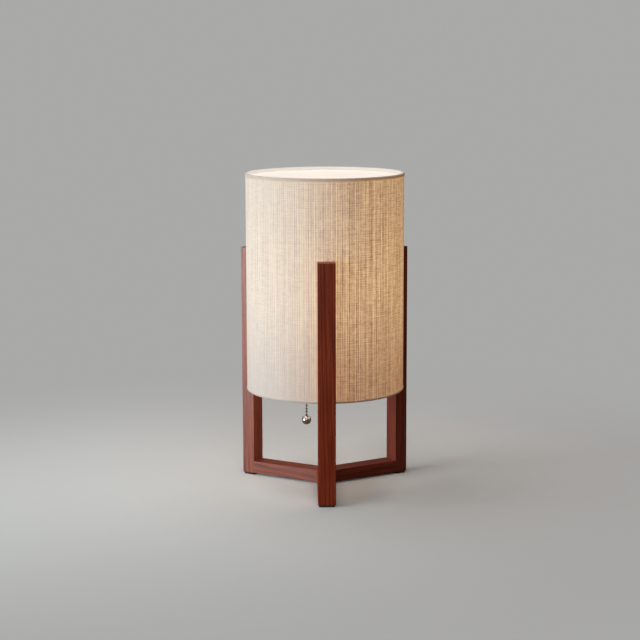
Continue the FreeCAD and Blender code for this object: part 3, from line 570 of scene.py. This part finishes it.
def sweep(name, angles, radii, heights, tone, closed=True):
    # a closed outline carried round the axis; radii and heights have one row for each angle
    steps, corners = radii.shape
    points = numpy.stack([radii * numpy.cos(angles)[:, None], radii * numpy.sin(angles)[:, None], heights], 2)
    faces = []
    for a in range(steps if closed else steps - 1):
        b = (a + 1) % steps
        for c in range(corners):
            d = (c + 1) % corners
            faces.append((a * corners + c, b * corners + c, b * corners + d, a * corners + d))
    if not closed:
        faces.append(tuple(range(corners)))
        faces.append(tuple((steps - 1) * corners + c for c in reversed(range(corners))))
    mesh = bpy.data.meshes.new(name)
    mesh.from_pydata(points.reshape(-1, 3).tolist(), [], faces)
    mesh.polygons.foreach_set("use_smooth", [True] * len(mesh.polygons))
    for label, values in tone.items():
        layer = mesh.attributes.new(label, "FLOAT", "POINT")
        layer.data.foreach_set("value", values.ravel().astype(numpy.float32))
    mesh.update()
    made = bpy.data.objects.new(name, mesh)
    bpy.context.scene.collection.objects.link(made)
    return made


def makeCloth(thickness):
    low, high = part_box("shade_fabric")
    radius = high.x
    inner = radius - cloth["thickness"]
    columns = cloth["yarns"] * cloth["perYarn"]
    angles = numpy.arange(columns) * 2 * math.pi / columns + math.pi / columns
    levels = numpy.linspace(low.z, high.z, cloth["rows"] + 1)
    # one more row near either edge: under the hem the cloth is pressed flat and drawn in
    bend = cloth["bend"]
    levels = numpy.concatenate([levels[:1], [low.z + bend], levels[1:-1], [high.z - bend], levels[-1:]])
    thickness = thickness[[0, *range(cloth["rows"] + 1), -1]]
    yarn = numpy.arange(columns) // cloth["perYarn"]
    middle = numpy.arange(columns) % cloth["perYarn"] == cloth["perYarn"] // 2
    thick = thickness[:, yarn].T
    crown = numpy.where(middle, 1.0, cloth["side"])[:, None]
    outer = radius - cloth["sunk"] + cloth["relief"] * crown * (1 + cloth["fuller"] * thick)
    outer += cloth["slubRelief"] * thick
    outer[:, [1, -2]] = radius - cloth["flat"]
    outer[:, [0, -1]] = radius - cloth["drawn"]
    radii = numpy.hstack([outer, numpy.full((columns, 2), inner)])
    heights = numpy.tile(numpy.hstack([levels, [levels[-1], levels[0]]]), (columns, 1))
    tone = numpy.hstack([thick, thick[:, -1:], thick[:, :1]])
    made = sweep("shadeCloth", angles, radii, heights, {"yarn": tone})
    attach(made, "lantern")
    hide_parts("shade_fabric", "shade_seam", "top_trim", "bottom_trim")
    return made


hem = dict(
    columns=960,
    thickness=0.0004,
    depth=0.0051,  # from its outer face to its inner lip
    round=0.0012,  # radius of its two bends
    bendSteps=4,
    rows=(0.35, 0.7),  # where its straight part has points between lip and bend, as shares
    wave=0.00022,  # how far the glued lip wanders
    waves=(3, 60),  # how many times round the drum, least and most
    swell=0.00007,  # how far its face does
    swells=(5, 90),
    fullTurn=6.28,  # in radians, for the waves' places
    yarnRelief=0.00003,
    topSeed=14,
    bottomSeed=16,
    thin=(0.55, 0.50, 0.455),
    full=(0.65, 0.60, 0.545),
    thinGlow=(0.19, 0.090, 0.030),
    fullGlow=(0.11, 0.042, 0.010),
    lipGlow=(0.36, 0.200, 0.085),
    inside=(0.45, 0.42, 0.385),
    glowReach=(0.14, 0.42),  # the heights between which its glow grows from half to all
    fuzzScale=1500,
    roughness=0.85,
)


def makeHem(name, node, upwards, thickness):
    # a strip of the same cloth, turned over the wall's edge and its wire ring
    low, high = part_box(node)
    back, lip = (high.z, low.z) if upwards else (low.z, high.z)
    way = 1 if upwards else -1
    outer = high.x
    inner = outer - hem["depth"]
    count = hem["columns"]
    angles = numpy.arange(count) * 2 * math.pi / count
    rng = numpy.random.default_rng(hem["topSeed"] if upwards else hem["bottomSeed"])

    def wander(size, waves):
        total = 0
        for k in waves:
            strength = rng.normal()
            total = total + strength * numpy.cos(k * angles + rng.random() * hem["fullTurn"]) / k**0.5
        return size * total / total.std()

    lipWave = wander(hem["wave"], range(*hem["waves"]))
    swell = wander(hem["swell"], range(*hem["swells"]))
    yarn = (numpy.arange(count) * cloth["yarns"] // count).astype(int)
    own = thickness[-1 if upwards else 0][yarn]
    turnRadius = hem["round"]
    straight = back - way * turnRadius  # where the bend begins
    bends = [math.radians(90 * step / hem["bendSteps"]) for step in range(hem["bendSteps"] + 1)]
    # each point of the skin: radius, height, share of the lip's wave, outward way of the swell
    skin = []
    for share in (0.0, *hem["rows"]):
        skin.append((outer, lip + (straight - lip) * share, (1 - share)**2, 1))
    for bend in bends:
        fromOuter, fromBack = turnRadius * (1 - math.cos(bend)), turnRadius * (1 - math.sin(bend))
        skin.append((outer - fromOuter, back - way * fromBack, 0, 1))
    for bend in bends:
        fromInner, fromBack = turnRadius * (1 - math.sin(bend)), turnRadius * (1 - math.cos(bend))
        skin.append((inner + fromInner, back - way * fromBack, 0, -1))
    for share in (*reversed(hem["rows"]), 0.0):
        skin.append((inner, lip + (straight - lip) * share, (1 - share)**2, -1))
    under = []
    for radius, height, share, side in reversed(skin):
        inside = min(max(radius, inner + hem["thickness"]), outer - hem["thickness"])
        below = back - way * hem["thickness"]
        under.append((inside, min(height, below) if upwards else max(height, below), share, side))
    radii, heights, innerSide, lipShare = [], [], [], []
    for radius, height, share, side in skin + under:
        radii.append(radius + side * (swell + hem["yarnRelief"] * own))
        heights.append(height + share * lipWave)
        innerSide.append(numpy.full(count, 1.0 if side < 0 and radius < (outer + inner) / 2 else 0.0))
        lipShare.append(numpy.full(count, share if side > 0 else 0.0))
    radii, heights, innerSide, lipShare = (numpy.stack(v, 1) for v in (radii, heights, innerSide, lipShare))
    tone = numpy.repeat(own[:, None], radii.shape[1], 1)
    made = sweep(name, angles, radii, heights, {"yarn": tone, "inner": innerSide, "lip": lipShare})
    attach(made, "lantern")
    return made


lap = dict(
    columns=53,
    thickness=0.0004,
    edge=0.00008,  # its thickness at the very edge
    fold=3.0,  # columns over which it comes to its full thickness
    yarnRelief=0.00004,
    shift=7,  # its yarns aren't those of the cloth below
    end=0.0003,  # height of the row next to its upper and lower ends
)


def makeLap(thickness):
    # the cloth's outer end, glued down over its beginning
    low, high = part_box("shade_seam")
    outer = math.hypot(high.x, high.y)
    inner = outer - lap["thickness"]
    half = math.asin(high.x / outer)
    count = lap["columns"]
    angles = numpy.linspace(math.pi / 2 - half, math.pi / 2 + half, count)
    levels = numpy.linspace(low.z, high.z, cloth["rows"] + 1)
    levels[1], levels[-2] = low.z + lap["end"], high.z - lap["end"]
    fromEnd = numpy.minimum(numpy.arange(count), count - 1 - numpy.arange(count))
    fold = numpy.minimum(fromEnd / lap["fold"], 1.0) ** 0.5
    yarn = ((angles / (2 * math.pi) * cloth["yarns"]).astype(int) + lap["shift"]) % cloth["yarns"]
    thick = thickness[:, yarn].T
    least = inner + lap["edge"]
    skin = least + (outer - least) * fold[:, None] + lap["yarnRelief"] * thick
    radii = numpy.hstack([skin, numpy.full((count, 2), inner)])
    heights = numpy.tile(numpy.hstack([levels, [levels[-1], levels[0]]]), (count, 1))
    tone = numpy.hstack([thick, thick[:, -1:], thick[:, :1]])
    made = sweep("shadeLap", angles, radii, heights, {"yarn": tone}, closed=False)
    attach(made, "lantern")
    return made


def weave(wire, place):
    # how full each upright and each level thread is, where they cross, and the height of the surface
    x, y, z = split(place)
    around = x.maths("ARCTAN2", y, x) * (cloth["yarns"] / (2 * math.pi))
    level = z / cloth["weftPitch"]
    across, upright = (v.maths("FLOOR", v) for v in (around, level))
    # a thread keeps its tone for some way along and takes another from thread to thread
    warp = cloudy(joined(across * 5.37, level * 0.16, across * 2.71), 1, 1)
    weft = cloudy(joined(around * 0.13, upright * 5.37, upright * 2.71), 1, 1)
    turn = upright % 2.0
    crossed = {"Vector": joined(across, upright, across)}
    crossing = wire.node("ShaderNodeTexWhiteNoise", {"noise_dimensions": "2D"}, crossed, out="Value")
    sineA = around.maths("SINE", around * math.pi)
    sineB = level.maths("SINE", level * math.pi)
    relief = sineA * sineB * 0.35 + sineA * sineA * 0.3 + sineB * sineB * 0.25
    return warp - 0.5, weft - 0.5, turn - 0.5, crossing - 0.5, relief


def attribute(wire, name):
    return wire.node("ShaderNodeAttribute", {"attribute_name": name}, out="Fac")


def clothFinish(name):
    made, wire = newMaterial(name)
    place = objectPlace(wire)
    warp, weft, turn, crossing, relief = weave(wire, place)
    fuzz = cloudy(stretched(place, 1, 1, 0.25), cloth["fuzzScale"], 3, 0.6)
    shares = cloth["shares"]
    thin = 0.5 - attribute(wire, "yarn") * shares["yarn"] - warp * shares["warp"] - weft * shares["weft"]
    thin = spread(thin - turn * shares["turn"] - crossing * shares["crossing"], 0, 1, way="LINEAR")
    colour = mixed(1 - thin, cloth["bright"], cloth["full"])
    colour = mixed(spread(fuzz, 0.55, 0.75) * 0.15, colour, cloth["fuzz"])
    height = split(place)[2]
    far = mixed(spread(height, *cloth["lowReach"]), cloth["lowGlow"], (1.0, 1.0, 1.0))
    glow = timesVector(mixed(thin, cloth["thickGlow"], cloth["thinGlow"]), far)
    glow = scaledColour(glow, spread(height, *cloth["highReach"], 1.0, cloth["highGlow"]))
    raised = relief + (fuzz - 0.5) * 0.4 + crossing * 0.2
    principled(
        wire, Base_Color=colour, Roughness=cloth["roughness"] + (fuzz - 0.5) * 0.16,
        Sheen_Weight=0.08, Sheen_Roughness=0.5, Emission_Color=glow, Emission_Strength=1.0,
        Normal=bumped(raised, 0.35, cloth["reliefDepth"]),
    )
    return made


def hemFinish():
    # two more layers lie under it, so little light comes through; the bulb lights its inner lip
    made, wire = newMaterial("edge_cloth")
    place = objectPlace(wire)
    weft, _, crossing, relief = weave(wire, place)[1:]
    fuzz = cloudy(place, hem["fuzzScale"], 3, 0.6)
    tone = 0.5 + attribute(wire, "yarn") * 0.10 + weft * 0.5 + crossing * 0.2 + (fuzz - 0.5) * 0.4
    colour = mixed(spread(tone, 0, 1, way="LINEAR"), hem["thin"], hem["full"])
    through = mixed(tone, hem["thinGlow"], hem["fullGlow"])
    through = mixed(attribute(wire, "lip"), through, hem["lipGlow"])
    through = scaledColour(through, spread(split(place)[2], *hem["glowReach"], 0.5, 1.0))
    lit = mixed(attribute(wire, "inner"), through, hem["inside"])
    principled(
        wire, Base_Color=colour, Roughness=hem["roughness"] + (fuzz - 0.5) * 0.2, Sheen_Weight=0.08,
        Emission_Color=lit, Emission_Strength=1.0,
        Normal=bumped(relief + fuzz * 0.4, 0.35, cloth["reliefDepth"]),
    )
    return made


sheetLook = dict(
    base=(0.54, 0.52, 0.49),
    light=(0.60, 0.57, 0.52),
    glow=(0.620, 0.585, 0.555),
    dimGlow=(0.36, 0.285, 0.215),
    glowReach=(0.130, 0.38),  # the heights between which its glow grows from a fifth to all
    fibreScale=900,
    mottleScale=70,
    roughness=0.6,
)


def sheetFinish():
    # the stiff sheet inside: the bulb lights it most high up, at its own height and above
    made, wire = newMaterial("shade_sheet")
    place = objectPlace(wire)
    fibres = cloudy(place, sheetLook["fibreScale"], 4, 0.7)
    mottle = cloudy(place, sheetLook["mottleScale"], 3)
    near = spread(split(place)[2], *sheetLook["glowReach"], 0.2, 1.0)
    share = near * 0.85 + (fibres - 0.5) * 0.30 + (mottle - 0.5) * 0.25
    colour = mixed(fibres, sheetLook["base"], sheetLook["light"])
    principled(
        wire, Base_Color=colour, Roughness=sheetLook["roughness"] + (fibres - 0.5) * 0.2,
        Emission_Color=mixed(share, sheetLook["dimGlow"], sheetLook["glow"]), Emission_Strength=1.0,
        Normal=bumped(fibres, 0.1, fineDepth),
    )
    return made


thickness = makeYarns()
shadeCloth = makeCloth(thickness)
topHem = makeHem("topHem", "top_trim", True, thickness)
bottomHem = makeHem("bottomHem", "bottom_trim", False, thickness)
shadeLap = makeLap(thickness)
wovenCloth = clothFinish("woven_cloth")
edgeCloth = hemFinish()
for piece in (shadeCloth, shadeLap):
    piece.data.materials.append(wovenCloth)
for piece in (topHem, bottomHem):
    piece.data.materials.append(edgeCloth)
dress(sheetFinish(), "shade_liner")
print("shade made: %d faces" % len(shadeCloth.data.polygons))


# Stage and light

studio = dict(
    floorRadius=7.0,
    floorSides=96,
    floorFade=(0.10, 0.90),  # from the axis, the floor turns into the backdrop over this stretch
    mottleScale=40,
    mottle=0.97,  # how light the floor's darker patches are
    floor=(0.86, 0.815, 0.785),  # as the camera sees it
    floorShine=(0.34, 0.22, 0.17),  # as metal and lacquer show it
    floorBounce=(0.14, 0.085, 0.060),  # what it throws back on the object
    backdrop=(0.40, 0.40, 0.395),
    backdropShine=(0.080, 0.075, 0.072),
    fill=(0.040, 0.040, 0.040),
)

lamps = {
    # degrees to the camera's left, distance from the axis, height, size, colour, power, height it aims at
    "key": (67, 1.30, 0.24, (1.00, 0.44), (0.82, 1.0, 1.06), 12.9, 0.22),
    "front": (-4, 2.20, 0.90, (0.80, 0.80), (0.97, 1.0, 1.0), 4.6, 0.25),
    "overhead": (115, 0.35, 1.70, (1.20, 1.20), (1.0, 0.98, 0.96), 12.5, 0.0),
}


def rays(wire):
    # 1 for what the camera sees straight, and 1 for what it sees in metal, lacquer and glass
    names = ("Is Camera Ray", "Is Glossy Ray", "Is Transmission Ray")
    straight, glossy, through = (wire.node("ShaderNodeLightPath", out=name) for name in names)
    return straight, wire.maths("MAXIMUM", glossy, through)


def byRay(wire, thrown, mirrored, seen):
    straight, glossy = rays(wire)
    return mixed(straight, mixed(glossy, thrown, mirrored), seen)


def makeFloor():
    mesh = bpy.data.meshes.new("floor")
    count, radius = studio["floorSides"], studio["floorRadius"]
    angles = [k * 2 * math.pi / count for k in range(count)]
    rim = [(radius * math.cos(a), radius * math.sin(a), 0) for a in angles]
    mesh.from_pydata(rim, [], [tuple(range(count))])
    floor = bpy.data.objects.new("floor", mesh)
    bpy.context.scene.collection.objects.link(floor)
    made, wire = newMaterial("floor")
    place = objectPlace(wire)
    away = wire.node("ShaderNodeVectorMath", {"operation": "LENGTH"}, {0: place}, out="Value")
    mottle = cloudy(place, studio["mottleScale"], 4)
    colour = mixed(mottle, studio["floor"], tuple(c * studio["mottle"] for c in studio["floor"]))
    colour = byRay(wire, studio["floorBounce"], studio["floorShine"], colour)
    matt = wire.node("ShaderNodeBsdfDiffuse", inputs={"Color": colour, "Roughness": 0.5})
    straight, glossy = rays(wire)
    far = mixed(straight, studio["backdropShine"], studio["backdrop"])
    plain = wire.node("ShaderNodeEmission", inputs={"Color": far})
    share = spread(away, *studio["floorFade"]) * wire.maths("MAXIMUM", straight, glossy)
    finish(wire, wire.node("ShaderNodeMixShader", inputs={0: share, 1: matt, 2: plain}))
    mesh.materials.append(made)


def setWorld():
    world = bpy.data.worlds.new("studio")
    bpy.context.scene.world = world
    world.use_nodes = True
    world.node_tree.nodes.clear()
    wire = Wire(world.node_tree)
    colour = byRay(wire, studio["fill"], studio["backdropShine"], studio["backdrop"])
    light = wire.node("ShaderNodeBackground", inputs={"Color": colour})
    wire.node("ShaderNodeOutputWorld", inputs={"Surface": light})


def softbox(name, side, distance, height, size, colour, power, aim):
    data = bpy.data.lights.new(name, "AREA")
    data.shape = "RECTANGLE"
    data.size, data.size_y = size
    data.color = colour
    data.energy = power
    lamp = bpy.data.objects.new(name, data)
    angle = math.radians(side)
    lamp.location = (-math.sin(angle) * distance, -math.cos(angle) * distance, height)
    lamp.rotation_euler = (Vector((0, 0, aim)) - lamp.location).to_track_quat("-Z", "Y").to_euler()
    lamp.visible_camera = False
    bpy.context.scene.collection.objects.link(lamp)


makeFloor()
setWorld()
for name, values in lamps.items():
    softbox(name, *values)
bpy.context.scene.view_settings.view_transform = "Standard"
print("stage set")
